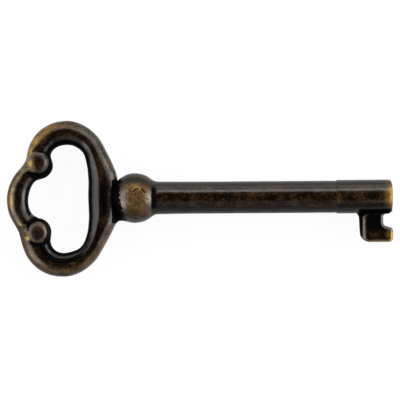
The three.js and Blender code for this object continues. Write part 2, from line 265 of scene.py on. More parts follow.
shank_start = SHANK_X - 0.5 * MM
shank_outline = [
    (shank_low.x, 0),
    (shank_low.x, TENON_RADIUS - 0.3 * MM),
    (shank_low.x + 0.3 * MM, TENON_RADIUS),
    (shank_start, TENON_RADIUS),
    (shank_start, SHANK_RADIUS),
    (BARREL_X, SHANK_RADIUS),
    (BARREL_X, SPIGOT_RADIUS + JOINT_GAP),
    (BARREL_X - SPIGOT_LENGTH - JOINT_GAP, SPIGOT_RADIUS + JOINT_GAP),
    (BARREL_X - SPIGOT_LENGTH - JOINT_GAP, 0),
]
shank_bm = turned(spaced(shank_outline, 0.3 * MM))
for vert in shank_bm.verts:
    around = Vector((vert.co.y, vert.co.z))
    if around.length > SHANK_RADIUS * 0.99:
        along = vert.co.x - shank_start
        flare = FLARE * (1 - smoothstep(0, FLARE_LENGTH, along))
        flare += FILLET * max(0, 1 - along / FILLET_LENGTH) ** 2.5
        around *= 1 + flare / SHANK_RADIUS
        vert.co.y, vert.co.z = around
roughened(shank_bm, 0.015 * MM, 2.5 * MM, 3)


# %% Store the shank's wear
def crown_strip(place):
    """1 along the top of the shank and the barrel, where reddish specks lie, and 0 down their sides."""
    return 1 - smoothstep(0.9, 1.8, abs(place.y - 0.1))


def shank_wear(place, normal):
    near_ball = 1 - smoothstep(SHANK_X / MM + 0.1, SHANK_X / MM + 1.1, place.x)
    near_barrel = smoothstep(BARREL_X / MM - 0.6, BARREL_X / MM - 0.15, place.x)
    # Painted shade: darker in the crease by the ball, most along the top.
    dark = near_ball * (1 - 0.6 * smoothstep(1.4, 2.8, abs(place.y)))
    # Painted shade: the upper and lower flanks are darkened, which also dims their reflections.
    sides = 0.38 * smoothstep(1.7, 2.2, place.y) + 0.1 * smoothstep(2.4, 3, place.y)
    sides = max(0.55 * smoothstep(1.5, 2.1, -place.y), sides)
    crown = crown_strip(place)
    return 0.08 * crown - 0.12, max(0.9 * dark, 0.4 * near_barrel, sides), 0.38 * crown, 0.45


shank = finished("shank_rod", shank_bm, shank_wear, "shank")

# %% [markdown]
# ## The barrel
#
# A slightly thicker tube, drilled from its mouth for the lock's drill pin. Its mouth is rounded and
# rubbed bright, because it is what touches the lock plate first.

# %% Turn the barrel
BORE_RADIUS = 2 * MM
BORE_DEPTH = 9 * MM
MOUTH_EDGE = 0.62 * MM
REAR_EDGE = 0.16 * MM
BORE_EDGE = 0.2 * MM
DRILL_POINT = 0.9 * MM

mouth_face = BARREL_RADIUS - BORE_RADIUS - BORE_EDGE
mouth_arc = arc_points(0, 0, 1, math.pi / 2, 0, 12)
barrel_outline = [
    (BARREL_X - SPIGOT_LENGTH, 0),
    (BARREL_X - SPIGOT_LENGTH, SPIGOT_RADIUS),
    (BARREL_X, SPIGOT_RADIUS),
    *arc_points(BARREL_X + REAR_EDGE, BARREL_RADIUS - REAR_EDGE, REAR_EDGE, math.pi, math.pi / 2, 4),
    *[(MOUTH_X - MOUTH_EDGE * (1 - x), BARREL_RADIUS - mouth_face * (1 - y)) for x, y in mouth_arc],
    *arc_points(MOUTH_X - BORE_EDGE, BORE_RADIUS + BORE_EDGE, BORE_EDGE, 0, -math.pi / 2, 4),
    (MOUTH_X - BORE_DEPTH, BORE_RADIUS),
    (MOUTH_X - BORE_DEPTH - DRILL_POINT, 0),
]
barrel_bm = turned(spaced(barrel_outline, 0.3 * MM))
roughened(barrel_bm, 0.015 * MM, 2 * MM, 7)


# %% Store the barrel's wear
def barrel_wear(place, normal):
    mouth = 0.85 * smoothstep(MOUTH_X / MM - 2.4, MOUTH_X / MM - 0.2, place.x)
    mouth *= 1 - 0.5 * smoothstep(1.4, 2.8, place.y)
    rear = 1 - smoothstep(BARREL_X / MM + 0.15, BARREL_X / MM + 0.8, place.x)
    # Painted shade: the bore is black inside.
    inside = math.hypot(place.y, place.z) < BORE_RADIUS / MM + 0.05
    # Painted shade on the barrel's lower side over the bit, where the mouth is also rubbed less.
    shade_beside_bit = smoothstep(bit_low.x / MM - 0.8, bit_low.x / MM + 0.6, place.x)
    shade_beside_bit *= smoothstep(1.9, 2.9, -place.y)
    lower = 1 - 0.5 * smoothstep(0.5, 2.5, -place.y)
    rub_and_highlight = max(-0.1, mouth * lower * (1 - 0.6 * shade_beside_bit), 0.25 * rear * lower)
    # Painted shade: the upper and lower flanks are darkened, less at the mouth.
    sides = max(0.53 * smoothstep(0.6, 1.6, -place.y), 0.45 * smoothstep(1.8, 2.3, place.y))
    sides *= 1 - 0.4 * mouth
    rim = 0.6 * (1 - smoothstep(BARREL_X / MM + 0.05, BARREL_X / MM + 0.25, place.x))
    grime_and_shade = max(float(inside), shade_beside_bit, sides, rim)
    return rub_and_highlight, grime_and_shade, 0.38 * crown_strip(place), 0.45 * (1 - 0.5 * mouth)


barrel = finished("barrel_tube", barrel_bm, barrel_wear, "bit_barrel")

# %% [markdown]
# ## The bow's rods
#
# Each rod is an oval section swept along arcs. `spin` does that one step at a time: it turns the last
# ring round the arc's centre. Each ring then gets the width and thickness of its place along the rod, so
# the rod swells at the neck and thins at the beads. A curve with a bevel would give the same rod, but not
# a section that changes its shape on the way.

# %% Sweep a rod along arcs
SECTION_SIDES = 56
RING_GAP = 0.25 * MM
END_THICKNESS = 3.4
END_LENGTH = 3 * MM


def swept(start, arcs):
    """A bmesh of rings along arcs, each ring's middle, way out and share of the length, and the length."""
    bm = bmesh.new()
    length = sum(abs(angle) * radius for _, radius, angle in arcs)
    first = Vector((start.x, start.y, 0))
    out = (start - arcs[0][0]).normalized().to_3d()
    turn = Matrix.Translation(first) @ Matrix.Rotation(math.atan2(out.y, out.x), 4, "Z")
    turn = turn @ Matrix.Rotation(math.pi / 2, 4, "X")
    ring = bmesh.ops.create_circle(bm, segments=SECTION_SIDES, radius=MM, matrix=turn)["verts"]
    edges = bm.edges[:]
    rings = [(ring, first, out, 0)]
    gone = 0
    for centre, radius, angle in arcs:
        steps = math.ceil(abs(angle) * radius / RING_GAP)
        cent = centre.to_3d()
        for _ in range(steps):
            step = {"cent": cent, "axis": (0, 0, 1), "angle": angle / steps, "steps": 1}
            last = bmesh.ops.spin(bm, geom=ring + edges, **step)["geom_last"]
            ring = [part for part in last if isinstance(part, bmesh.types.BMVert)]
            edges = [part for part in last if isinstance(part, bmesh.types.BMEdge)]
            middle = sum((vert.co for vert in ring), Vector()) / len(ring)
            gone += abs(angle) * radius / steps
            rings.append((ring, middle, (middle - cent).normalized(), gone / length))
    bmesh.ops.holes_fill(bm, edges=bm.edges, sides=SECTION_SIDES)
    bmesh.ops.recalc_face_normals(bm, faces=bm.faces)
    return bm, rings, length


# %% Give the rod its section
# The bevel starts this far out on the section's shoulder, which faces inwards and up in these shares.
BEVEL_HEIGHT = 0.9
BEVEL_ACROSS, BEVEL_UP = -0.697, 0.717


def eased_through(stations, share):
    """A size that runs smoothly through [share, size] stations."""
    for (before, size_before), (after, size_after) in zip(stations, stations[1:]):
        if share <= after:
            return size_before + (size_after - size_before) * smoothstep(before, after, share)
    return stations[-1][1]


def bevelled(across, up, amount):
    """A point of a round section of radius 1, with the shoulder on its inner side partly planed flat."""
    over = BEVEL_ACROSS * across + BEVEL_UP * abs(up)
    if over <= BEVEL_HEIGHT:
        return across, up
    scale = 1 - amount * (1 - BEVEL_HEIGHT / over)
    return across * scale, up * scale


# The real rods stray from true circles. Each place is x from the bow's middle, y from the shank's axis,
# its size, and how far the rod is pushed outwards there, all in mm.
UNEVEN = [
    (-5.8, -8.5, 2, -0.17),
    (-2.5, -12.5, 2.6, 0.14),
    (3.1, -12.2, 2, -0.1),
    (-3.5, 11.3, 2.5, 0.1),
    (5.7, 9.7, 1.6, 0.12),
    (8.6, 5.8, 1.2, -0.1),
    (8.7, -6.5, 1.2, -0.08),
    (-8.8, -2.6, 2.5, 0.1),
]


def from_bow(place):
    """A place in mm, seen from the bow's middle."""
    return Vector((place.x - BOW_X / MM, place.y))


def spread(spots, beside):
    """The sum of soft round spots at a place, each with its middle, size and strength."""
    return sum(
        much * math.exp(-((beside - Vector((x, y))).length / size) ** 2)
        for x, y, size, much in spots
    )


def shaped(rings, length, widths, thickness, bevel=0, trim=lambda middle: 0):
    """Gives each ring its width and thickness in mm, and returns its middle, way out and half sizes."""
    sizes = []
    for ring, middle, out, share in rings:
        full = smoothstep(0, END_LENGTH, min(share, 1 - share) * length)
        high = (END_THICKNESS + (thickness - END_THICKNESS) * full) / 2
        inner = outer = eased_through(widths, share) / 2
        cut = trim(middle / MM)
        inner, outer = inner - cut / 2, outer - cut / 2
        pushed = spread(UNEVEN, from_bow(middle / MM))
        crown = middle + out * (pushed - cut / 2) * MM
        for vert in ring:
            offset = (vert.co - middle) / MM
            across, up = bevelled(offset.dot(out), offset.z, bevel)
            wide = outer if across > 0 else inner
            vert.co = crown + out * across * wide * MM + Vector((0, 0, up * high * MM))
        sizes.append((crown, out, inner * MM, outer * MM, high * MM))
    return sizes


print("rods have", SECTION_SIDES, "sides and", len(UNEVEN), "uneven places")


# %% Sweep the loop
def turn_between(centre, start, end, clockwise):
    """The angle from one place to another round a centre."""
    angle = angle_from(centre, end) - angle_from(centre, start)
    return -((-angle) % (2 * math.pi)) if clockwise else angle % (2 * math.pi)


def on_circle(centre, radius, angle):
    return centre + Vector((math.cos(angle), math.sin(angle))) * radius


END_SHORT = 0.45 * MM
LOOP_THICKNESS = 4.4

start_angle = angle_from(UPPER_LOBE, UPPER_BEAD) - END_SHORT / UPPER_RADIUS
end_angle = angle_from(LOWER_LOBE, LOWER_BEAD) + END_SHORT / LOWER_RADIUS
loop_start = on_circle(UPPER_LOBE, UPPER_RADIUS, start_angle)
loop_end = on_circle(LOWER_LOBE, LOWER_RADIUS, end_angle)
upper_tangent = on_circle(LIMB, LIMB_RADIUS, angle_from(LIMB, UPPER_LOBE))
lower_tangent = on_circle(LIMB, LIMB_RADIUS, angle_from(LIMB, LOWER_LOBE))
loop_arcs = [
    (UPPER_LOBE, UPPER_RADIUS, turn_between(UPPER_LOBE, loop_start, upper_tangent, True)),
    (LIMB, LIMB_RADIUS, turn_between(LIMB, upper_tangent, lower_tangent, True)),
    (LOWER_LOBE, LOWER_RADIUS, turn_between(LOWER_LOBE, lower_tangent, loop_end, True)),
]
loop_bm, loop_rings, loop_length = swept(loop_start, loop_arcs)
share_of = [abs(angle) * radius / loop_length for _, radius, angle in loop_arcs]
upper_crown = UPPER_RADIUS * (angle_from(UPPER_LOBE, loop_start) + 1.5 * math.pi) / loop_length
lower_crown = 1 - LOWER_RADIUS * (1.5 * math.pi - angle_from(LOWER_LOBE, loop_end)) / loop_length
neck_share = share_of[0] + LIMB_RADIUS * angle_from(LIMB, UPPER_LOBE) / loop_length
LOOP_WIDTHS = [
    (0, 4.45),
    (upper_crown, 4.74),
    (share_of[0], 4.22),
    (neck_share, 6.5),
    (1 - share_of[2], 3.84),
    (lower_crown, 4.66),
    (1, 5.6),
]


def neck_trim(middle):
    """How much the limb is cut back on its outer side at the neck, in mm, where the ball sits in it."""
    return 0.65 * (1 - smoothstep(0.5, 5, abs(middle.y)))


loop_sizes = shaped(loop_rings, loop_length, LOOP_WIDTHS, LOOP_THICKNESS, bevel=0.7, trim=neck_trim)
print("loop", round(loop_length / MM, 1), "mm long, crowns at", round(upper_crown, 2), round(lower_crown, 2))

# %% Sweep the crest
CREST_WIDTHS = [(0, 3.75), (0.5, 4.16), (1, 3.75)]
CREST_THICKNESS = 4.1

crest_start = on_circle(CREST, CREST_RADIUS, angle_from(CREST, UPPER_BEAD) + END_SHORT / CREST_RADIUS)
crest_end = on_circle(CREST, CREST_RADIUS, angle_from(CREST, LOWER_BEAD) - END_SHORT / CREST_RADIUS)
crest_arcs = [(CREST, CREST_RADIUS, turn_between(CREST, crest_start, crest_end, False))]
crest_bm, crest_rings, crest_length = swept(crest_start, crest_arcs)
crest_sizes = shaped(crest_rings, crest_length, CREST_WIDTHS, CREST_THICKNESS)
print("crest", round(crest_length / MM, 1), "mm long")

# %% [markdown]
# ## The beads and the ball
#
# A bead sits in each corner of the bow: a ball with a flattened top that leans to one side. A plain UV
# sphere is pushed out to that squarer shape, and its upper and lower halves are slid over. A larger ball
# sits between the bow and the shank. It is bored for the shank's tenon and flat where the shank butts
# against it. Its top has worn down to pitted brass, so dents with raised rims are pressed into the mesh
# there, which no lathe outline could hold.

# %% Make the beads
BEAD_RADIUS = 2.26 * MM
BEAD_HEIGHT = 2.7 * MM
BEAD_SQUARE = 3
UPPER_DOME = UPPER_BEAD + Vector((-0.42, 0.7)) * MM
LOWER_DOME = LOWER_BEAD + Vector((0.02, -0.17)) * MM


def bead_middle(place, dome, height):
    """Where the bead's middle is at a height: it leans from place to dome, and its top stands upright."""
    return place + (dome - place) * smoothstep(0, 0.7, abs(height) / BEAD_HEIGHT)


def cushion(across, up):
    """How far out a place is in a ball with a flattened top, where 1 is its surface."""
    return (across**BEAD_SQUARE + abs(up) ** BEAD_SQUARE) ** (1 / BEAD_SQUARE)


def bead(place, dome):
    """A flattened ball that leans, so that its top is at dome and its middle at place."""
    bm = bmesh.new()
    bmesh.ops.create_uvsphere(bm, u_segments=72, v_segments=56, radius=1)
    for vert in bm.verts:
        vert.co /= cushion(vert.co.to_2d().length, vert.co.z)
    bmesh.ops.scale(bm, vec=(BEAD_RADIUS, BEAD_RADIUS, BEAD_HEIGHT), verts=bm.verts)
    for vert in bm.verts:
        vert.co += bead_middle(place, dome, vert.co.z).to_3d()
    return bm


upper_bead_bm = bead(UPPER_BEAD, UPPER_DOME)
lower_bead_bm = bead(LOWER_BEAD, LOWER_DOME)
print("beads of", len(upper_bead_bm.verts), "and", len(lower_bead_bm.verts), "points")

# %% Turn the ball and dent its top
# Each dent is a short groove: its start and end from the ball's middle, its half width and depth, in mm.
DENTS = [
    (-0.3, 1.3, 0.3, 1.8, 0.2, 0.2),
    (0.3, 1.8, 0.75, 1.68, 0.15, 0.14),
    (1.35, 1.76, 1.9, 1.1, 0.2, 0.24),
    (-0.95, 1.5, -0.75, 1.25, 0.25, 0.12),
    (0.51, -0.1, 0.55, -0.15, 0.2, 0.1),
    (0.51, -1.0, 0.51, -1.7, 0.15, 0.08),
    (1.4, -0.75, 1.6, -1.0, 0.3, 0.08),
    (-1.5, -1.2, -1.0, -1.5, 0.25, 0.07),
]
DENTS_ABOVE = 1.5

ball_start = math.pi - math.asin((TENON_RADIUS + JOINT_GAP) / BALL_RADIUS)
ball_end = math.asin(SHANK_RADIUS / BALL_RADIUS)
ball_outline = arc_points(BALL_X, 0, BALL_RADIUS, ball_start, ball_end, 150)
ball_outline += [(SHANK_X, TENON_RADIUS + JOINT_GAP), ball_outline[0]]
ball_bm = turned(spaced(ball_outline, 0.5 * MM), sides=256)


def dent_depth(place):
    """How deep the dents are at a place on the ball in mm, and below 0 on their raised rims."""
    depth = 0
    for x0, y0, x1, y1, half, deepest in DENTS:
        way = Vector((x1 - x0, y1 - y0))
        from_start = Vector((place.x - BALL_X / MM - x0, place.y - y0))
        share = min(1, max(0, from_start.dot(way) / way.length_squared))
        away = (from_start - way * share).length / half
        rim = 0.35 * deepest * math.exp(-((away - 1.7) ** 2) * 4)
        depth += deepest * (1 - smoothstep(0, 1.4, away)) - rim
    return depth


for vert in ball_bm.verts:
    place = vert.co / MM
    on_skin = (vert.co - Vector((BALL_X, 0, 0))).length > BALL_RADIUS * 0.98
    if place.z > DENTS_ABOVE and on_skin:
        pits = max(0, noise.noise(place * 2.4)) ** 2 * 0.2 * smoothstep(2.8, 4.2, place.z)
        vert.co -= vert.normal * MM * (dent_depth(place) + pits)
print("ball of", len(ball_bm.verts), "points with", len(DENTS), "dents")

# %% [markdown]
# ## Melting the bow together
#
# The rods, the beads and the ball are one casting at this end of the key, so they flow into each other
# with fillets. A boolean would weld them into one, but here each has to stay a piece of its own. So each
# piece gets a `field` that measures how far a place is from its surface. Where two fields are both small,
# points are moved out to a smooth blend of the two. The fillet is tight on top, wider down the sides and
# widest at the neck, where the limb runs into the ball. Past the seam a piece dips just under its
# neighbour, so the two never show through each other.

# %% Measure the distance to each piece
SIDE_FILLET = 1.3 * MM
TOP_FILLET = 0.5 * MM
NECK_TOP_FILLET = 0.12 * MM
NECK_SIDE_FILLET = 2.2 * MM
SINK = 0.06 * MM
DEEPEST = 1.2 * MM


def rod_field(sizes):
    """The distance to a rod, from its rings' middles, ways out and half sizes."""
    tree = KDTree(len(sizes))
    for index, (middle, *_) in enumerate(sizes):
        tree.insert(middle, index)
    tree.balance()

    def field(place):
        _, index, _ = tree.find(Vector((place.x, place.y, 0)))
        middle, out, inner, outer, high = sizes[index]
        offset = place - middle
        across = offset.dot(out)
        wide = outer if across > 0 else inner
        along = offset.x * -out.y + offset.y * out.x if index in (0, len(sizes) - 1) else 0
        round_place = Vector((across / wide, offset.z / high, along / wide))
        return (round_place.length - 1) * min(wide, high), across / wide

    return field


def bead_field(place, dome):
    def field(spot):
        across = (spot.to_2d() - bead_middle(place, dome, spot.z)).length
        return (cushion(across / BEAD_RADIUS, spot.z / BEAD_HEIGHT) - 1) * BEAD_RADIUS, 0

    return field


def ball_field(place):
    return (place - Vector((BALL_X, 0, 0))).length - BALL_RADIUS, 0


loop_field = rod_field(loop_sizes)
crest_field = rod_field(crest_sizes)
upper_field = bead_field(UPPER_BEAD, UPPER_DOME)
lower_field = bead_field(LOWER_BEAD, LOWER_DOME)
bow_fields = [loop_field, crest_field, upper_field, lower_field, ball_field]
print("the upper bead's middle is", round(crest_field(UPPER_BEAD.to_3d())[0] / MM, 2), "mm from the crest")


# %% Move the points out to the blend
def joined(place, own, others):
    """The blend's distance at a place, and how far the nearest other piece is behind this one."""
    low_down = 1 - smoothstep(0.3, 1.7, abs(place.z) / MM)
    neck = smoothstep(BOW_X + 6 * MM, BOW_X + 8 * MM, place.x)
    top = TOP_FILLET + (NECK_TOP_FILLET - TOP_FILLET) * neck
    side = SIDE_FILLET + (NECK_SIDE_FILLET - SIDE_FILLET) * neck
    fillet = top + (side - top) * low_down * (1 - neck * smoothstep(0, 2 * MM, place.y))
    mine = own(place)[0]
    theirs = min(field(place)[0] for field in others)
    overlap = max(0, fillet - abs(mine - theirs)) / fillet
    return min(mine, theirs) - overlap**2 * fillet / 4, mine - theirs


def melted(bm, own):
    """Moves a piece's points out to the blend with its neighbours."""
    others = [field for field in bow_fields if field is not own]
    step = 0.02 * MM
    ways = [Vector((step, 0, 0)), Vector((0, step, 0)), Vector((0, 0, step))]
    moved = 0
    for vert in bm.verts:
        theirs = min(field(vert.co)[0] for field in others)
        if not -DEEPEST < theirs < NECK_SIDE_FILLET:
            continue
        dive = 0.3 * MM * smoothstep(-0.5 * DEEPEST, -DEEPEST, theirs)
        for _ in range(4):
            gap, behind = joined(vert.co, own, others)
            rise = Vector([joined(vert.co + way, own, others)[0] for way in ways])
            slope = (rise - Vector([gap] * 3)) / step
            gap += min(SINK, max(0, behind) / 4) + dive
            vert.co -= slope * gap / max(0.3, slope.length_squared)
        moved += 1
    print("melted", moved, "of", len(bm.verts), "points")


# %% [markdown]
# ## Wear on the bow
#
# All the bow's pieces ask the same function for their wear, so it runs on across the seams. It first
# finds which side of its rod a place is on. Hands rub the outer side of the rods, most on the left. Black
# stays on the inner side and in the creases beside the beads and the ball, partly real grime and partly
# painted shade. Rubbed places and places of painted shade that follow no rule are listed as soft spots.

# %% List the rubbed spots and the spots of painted shade
# Each spot is x from the bow's middle, y from the shank's axis, its size in mm and how strong it is.
RUBBED = [
    (-10.6, 0, 3.2, 0.42),
    (-6.5, 9.6, 3.4, 0.3),
    (-3.2, 13, 2.5, 0.15),
    (-8.2, -5.2, 1.6, 0.3),
    (-7.15, -7.2, 0.7, 0.5),
    (-7.05, -7.8, 0.55, 0.65),
    (-8.4, 3.3, 1.8, 0.25),
    (-6.9, 5.2, 1.2, 0.3),
    (-7.2, -11, 2.4, 0.28),
    (-3.4, -14, 2.2, 0.15),
]
SHADE_SPOTS = [
    (-5.95, 9.4, 0.5, 0.7),
    (-5.4, 9.95, 0.5, 0.6),
    (-5, 10.5, 0.6, 0.4),
    (-5.4, -10.3, 0.9, 0.6),
    (-7.5, -9, 0.9, 0.5),
    (-3, 10.8, 0.9, 0.6),
    (-1.6, 11.75, 0.9, 0.5),
    (-9.9, 0.6, 0.9, 0.35),
]
print(len(RUBBED), "rubbed spots and", len(SHADE_SPOTS), "painted_shade ones")


# %% Say how worn the rods are
def rod_side(spot):
    """Which side of its rod a place is on, from -1 on the inner side to 1 on the outer side."""
    sides = sorted((field(spot) for field in (loop_field, crest_field)), key=lambda near: near[0])
    side = sides[0][1]
    if sides[1][0] < 0.8 * MM:
        side = max(side, sides[1][1])
    return side


def rod_wear(place, side, gilt):
    beside = from_bow(place)
    # The outer side is rubbed, most on the left, and a little less right at its edge.
    left = 1 - smoothstep(-4, 3, beside.x)
    rub_and_highlight = smoothstep(0.15, 0.6, side) * (0.2 + 0.14 * left) + smoothstep(-0.1, 0.6, side) * gilt
    rub_and_highlight *= 1 - 0.35 * smoothstep(0.72, 1, side)
    # Black lines the inner side, partly real grime and partly painted shade, and comes further up it in the
    # two large lobes. A band of painted shade also dims the lower lobe's inner side.
    upper_inside = smoothstep(5, 9, place.y) * (1 - smoothstep(3, 6, beside.x))
    lower_inside = smoothstep(-5, -8, place.y) * (1 - 0.5 * smoothstep(2, 5, beside.x))
    inner_shade_band = smoothstep(-0.02, -0.2, side) * smoothstep(-0.62, -0.5, side)
    grime_and_shade = smoothstep(0.62 - 0.25 * upper_inside, 0.86 - 0.1 * upper_inside, -side)
    grime_and_shade = max(grime_and_shade, 0.9 * lower_inside * inner_shade_band)
    # On the left the outer edge gets painted shade, with a thin painted highlight line along it.
    front_left = smoothstep(7, 5, place.y) * smoothstep(4, 0, beside.x)
    grime_and_shade = max(grime_and_shade, 0.52 * front_left * smoothstep(0.6, 0.72, side))
    highlight_line = front_left * smoothstep(4, 0, place.y) * (0.3 + 0.4 * smoothstep(-8, -5, place.y))
    highlight_line *= math.exp(-(((side - 0.53) / 0.11) ** 2))
    rub_and_highlight += 0.2 * highlight_line
    # The lower lobe's right half and the upper lobe's outer side are rubbed matt.
    lower_right = smoothstep(-8, -10.5, place.y) * smoothstep(-1, 2, beside.x)
    upper = smoothstep(6, 9, place.y) * (1 - smoothstep(1, 5, beside.x)) * smoothstep(0, 0.3, side)
    rub_and_highlight += 0.16 * lower_right * smoothstep(-0.5, 0, side) - 0.08 * lower_right * smoothstep(0.4, 0.7, side)
    rub_and_highlight += 0.14 * upper * smoothstep(0.3, 0.55, side)
    gloss = 0.55 - 0.4 * upper - 0.25 * lower_inside * smoothstep(0, -0.2, side)
    gloss += 0.4 * highlight_line - 0.3 * lower_right * smoothstep(-0.1, 0.3, side)
    rust = smoothstep(0, 1, side) * smoothstep(2, 6, beside.x) * smoothstep(-2, -6, place.y)
    return rub_and_highlight, grime_and_shade, rust, gloss


# %% Say how worn the beads are
DOME_RADIUS = 2.04
BEAD_REACH = 4.2


def over_bead(wear, place, side, gilt, bead_place, dome, upper_one):
    """The wear with one bead's dome, and the black crease round it (painted shade, partly real grime), laid
    over it.
    """
    flat = Vector((place.x, place.y))
    base = (flat - bead_place / MM).length
    if base >= BEAD_REACH:
        return wear
    rub_and_highlight, grime_and_shade, rust, gloss = wear
    top = (flat - dome / MM) / DOME_RADIUS
    top.x /= 1 - 0.12 * (1 - upper_one)
    on_dome = 1 - smoothstep(0.92, 1.12, top.length)
    edge = smoothstep(0.6, 0.85, top.length)
    right = smoothstep(0.2, 0.7, top.x)
    # The upper bead has a gold patch at its left, and the lower one a gold edge.
    gold = 0.6 * math.exp(-(((top.x + 0.74) / 0.26) ** 2) - ((top.y + 0.1) / 0.42) ** 2)
    gold += 0.38 * smoothstep(0.1, -0.5, top.x + 0.15 * top.y)
    gold = upper_one * gold + (1 - upper_one) * 0.36 * edge * (1 - 0.4 * right)
    # The crease is painted black, as shade and partly as real grime, where the rods' outer side doesn't rise
    # out of it.
    crease_shade = (1 - smoothstep(2.5, 3.6, base)) * (1 - smoothstep(0.4, 0.8, side))
    crease_shade *= 1 - min(1, 1.3 * gilt * (1 - upper_one))
    crease_shade *= 1 - upper_one * smoothstep(5.1, 5.4, place.y) * smoothstep(-5.6, -6.4, from_bow(place).x)
    core = 0.5 * smoothstep(0.75, 0.35, (top - Vector((0.15, -0.05))).length)
    rub_and_highlight = rub_and_highlight * (1 - crease_shade) * (1 - on_dome) + on_dome * gold
    grime_and_shade = max(grime_and_shade, crease_shade) * (1 - on_dome) + on_dome * core
    rust = rust * (1 - on_dome) + on_dome * 0.55 * smoothstep(-0.3, 0.1, top.x) * (1 - edge)
    gloss = gloss * (1 - on_dome) + on_dome * (0.08 + edge * (0.5 + 0.6 * right))
    return rub_and_highlight, grime_and_shade, rust, gloss


# %% Say how worn the whole bow is
def bow_wear(place, normal):
    side = rod_side(place * MM)
    beside = from_bow(place)
    gilt = spread(RUBBED, beside)
    wear = rod_wear(place, side, gilt)
    wear = over_bead(wear, place, side, gilt, UPPER_BEAD, UPPER_DOME, 1)
    rub_and_highlight, grime_and_shade, rust, gloss = over_bead(wear, place, side, gilt, LOWER_BEAD, LOWER_DOME, 0)
    # At the neck the limb is painted black as shade behind the ball and on its crown, and given lighter
    # painted shade on its inner side.
    shade_behind_ball = smoothstep(9.25, 9.6, beside.x) * smoothstep(-5.3, -4.7, place.y) * smoothstep(4, 3.3, place.y)
    crown_shade = smoothstep(-0.4, -0.1, side) * smoothstep(0.5, 0.2, side) * smoothstep(6, 1.5, abs(place.y))
    neck = smoothstep(4.5, 5.5, beside.x) * smoothstep(4.6, 3, abs(place.y))
    on_limb = smoothstep(4, 5, beside.x) * smoothstep(7, 5.5, abs(place.y)) * smoothstep(-0.2, -0.35, side)
    shaded = on_limb * (0.37 + 0.3 * smoothstep(0.45, 0.85, -side))
    grime_and_shade = max(grime_and_shade, spread(SHADE_SPOTS, beside), shade_behind_ball, 0.65 * crown_shade * neck, shaded)
    return rub_and_highlight * (1 - neck), grime_and_shade, rust, gloss


# %% Say how worn the ball is
BALL_TOP_X = 0.36


def ball_wear(place, normal):
    x, y = place.x - BALL_X / MM, place.y
    from_top = math.hypot(x - BALL_TOP_X, y)
    # The top is rubbed, with a browner middle, and a brighter band above it is a painted highlight.
    top = (1 - smoothstep(1.8, 4.1, from_top)) * 0.55 + 0.05 if place.z > 0 else 0.15
    top -= 0.22 * math.exp(-(((x - 0.2) / 1.6) ** 2) - ((y + 0.4) / 1.6) ** 2)
    top += 0.06 * math.exp(-((x / 1.8) ** 2) - ((y - 2.5) / 0.7) ** 2)
    # It gets painted shade: black behind, in a ragged line, and where the shank meets it, and a little over
    # the upper dents, which dims their reflection.
    ragged = 0.5 * noise.noise(place * 1.7)
    behind = 1 - smoothstep(-3.35, -2.6, x + ragged - (0.02 if y > 0 else 0.065) * y * y)
    shade_among_dents = 0.35 * math.exp(-(((x + 0.3) / 2.2) ** 2) - ((y - 1.6) / 0.9) ** 2)
    shank_crease_shade = smoothstep(3.25, 3.7, x) * (1 - 0.6 * smoothstep(1.4, 2.9, abs(y)))
    # The dents hold black, and their rims are rubbed.
    dent = dent_depth(place) if place.z > DENTS_ABOVE else 0
    top += 0.12 * smoothstep(0.02, 0.07, -dent)
    in_dent = 0.65 * smoothstep(0.05, 0.13, dent)
    rust = 0.8 * (1 - smoothstep(0.5, 1.9, math.hypot(x - 1.6, y + 2.3)))
    rust += 0.3 * smoothstep(2.2, 3.6, from_top)
    # Its left and right flanks are waxed, with a pale patch on each that is a painted highlight over rubbed
    # brass.
    gloss = 0.05 + 0.9 * smoothstep(1.3, 2.4, abs(x - BALL_TOP_X)) * smoothstep(3.2, 0.8, abs(y + 0.5))
    pale_highlight = math.exp(-(((x + 2.3) / 0.9) ** 2) - ((y + 0.8) / 1.6) ** 2)
    pale_highlight += math.exp(-(((x - 2.9) / 0.7) ** 2) - ((y + 0.3) / 1.4) ** 2)
    return max(top, 0.62 * pale_highlight), max(behind, shank_crease_shade, shade_among_dents, in_dent), rust, gloss + 0.5 * pale_highlight


# %% Melt the bow and store its wear
bow_pieces = []
for name, bm, field, wear, slot, node in [
    ("bow_loop_rod", loop_bm, loop_field, bow_wear, "aged_brass", "bow_loop"),
    ("bow_crest_rod", crest_bm, crest_field, bow_wear, "aged_brass", "bow_crest"),
    ("upper_bead", upper_bead_bm, upper_field, bow_wear, "rubbed_brass", "upper_cusp_bead"),
    ("lower_bead", lower_bead_bm, lower_field, bow_wear, "rubbed_brass", "lower_cusp_bead"),
]:
    melted(bm, field)
    roughened(bm, 0.04 * MM, 2.2 * MM, 17)
    bow_pieces.append(finished(name, bm, wear, node))
loop, crest, upper_bead, lower_bead = bow_pieces
melted(ball_bm, ball_field)
roughened(ball_bm, 0.03 * MM, 1.6 * MM, 11)
ball = finished("ball", ball_bm, ball_wear, "ball_collar")

# %% [markdown]
# ## The bit
#
# A flat web with rounded corners and a notch in its front edge. Only its corners are written down, each
# with the radius that it is rounded to. The plate is extruded from that outline, and `bevel` softens both
# rims as filing does. In a tight inner corner a wide bevel folds a few faces back onto each other, so
# those are looked for and taken out.

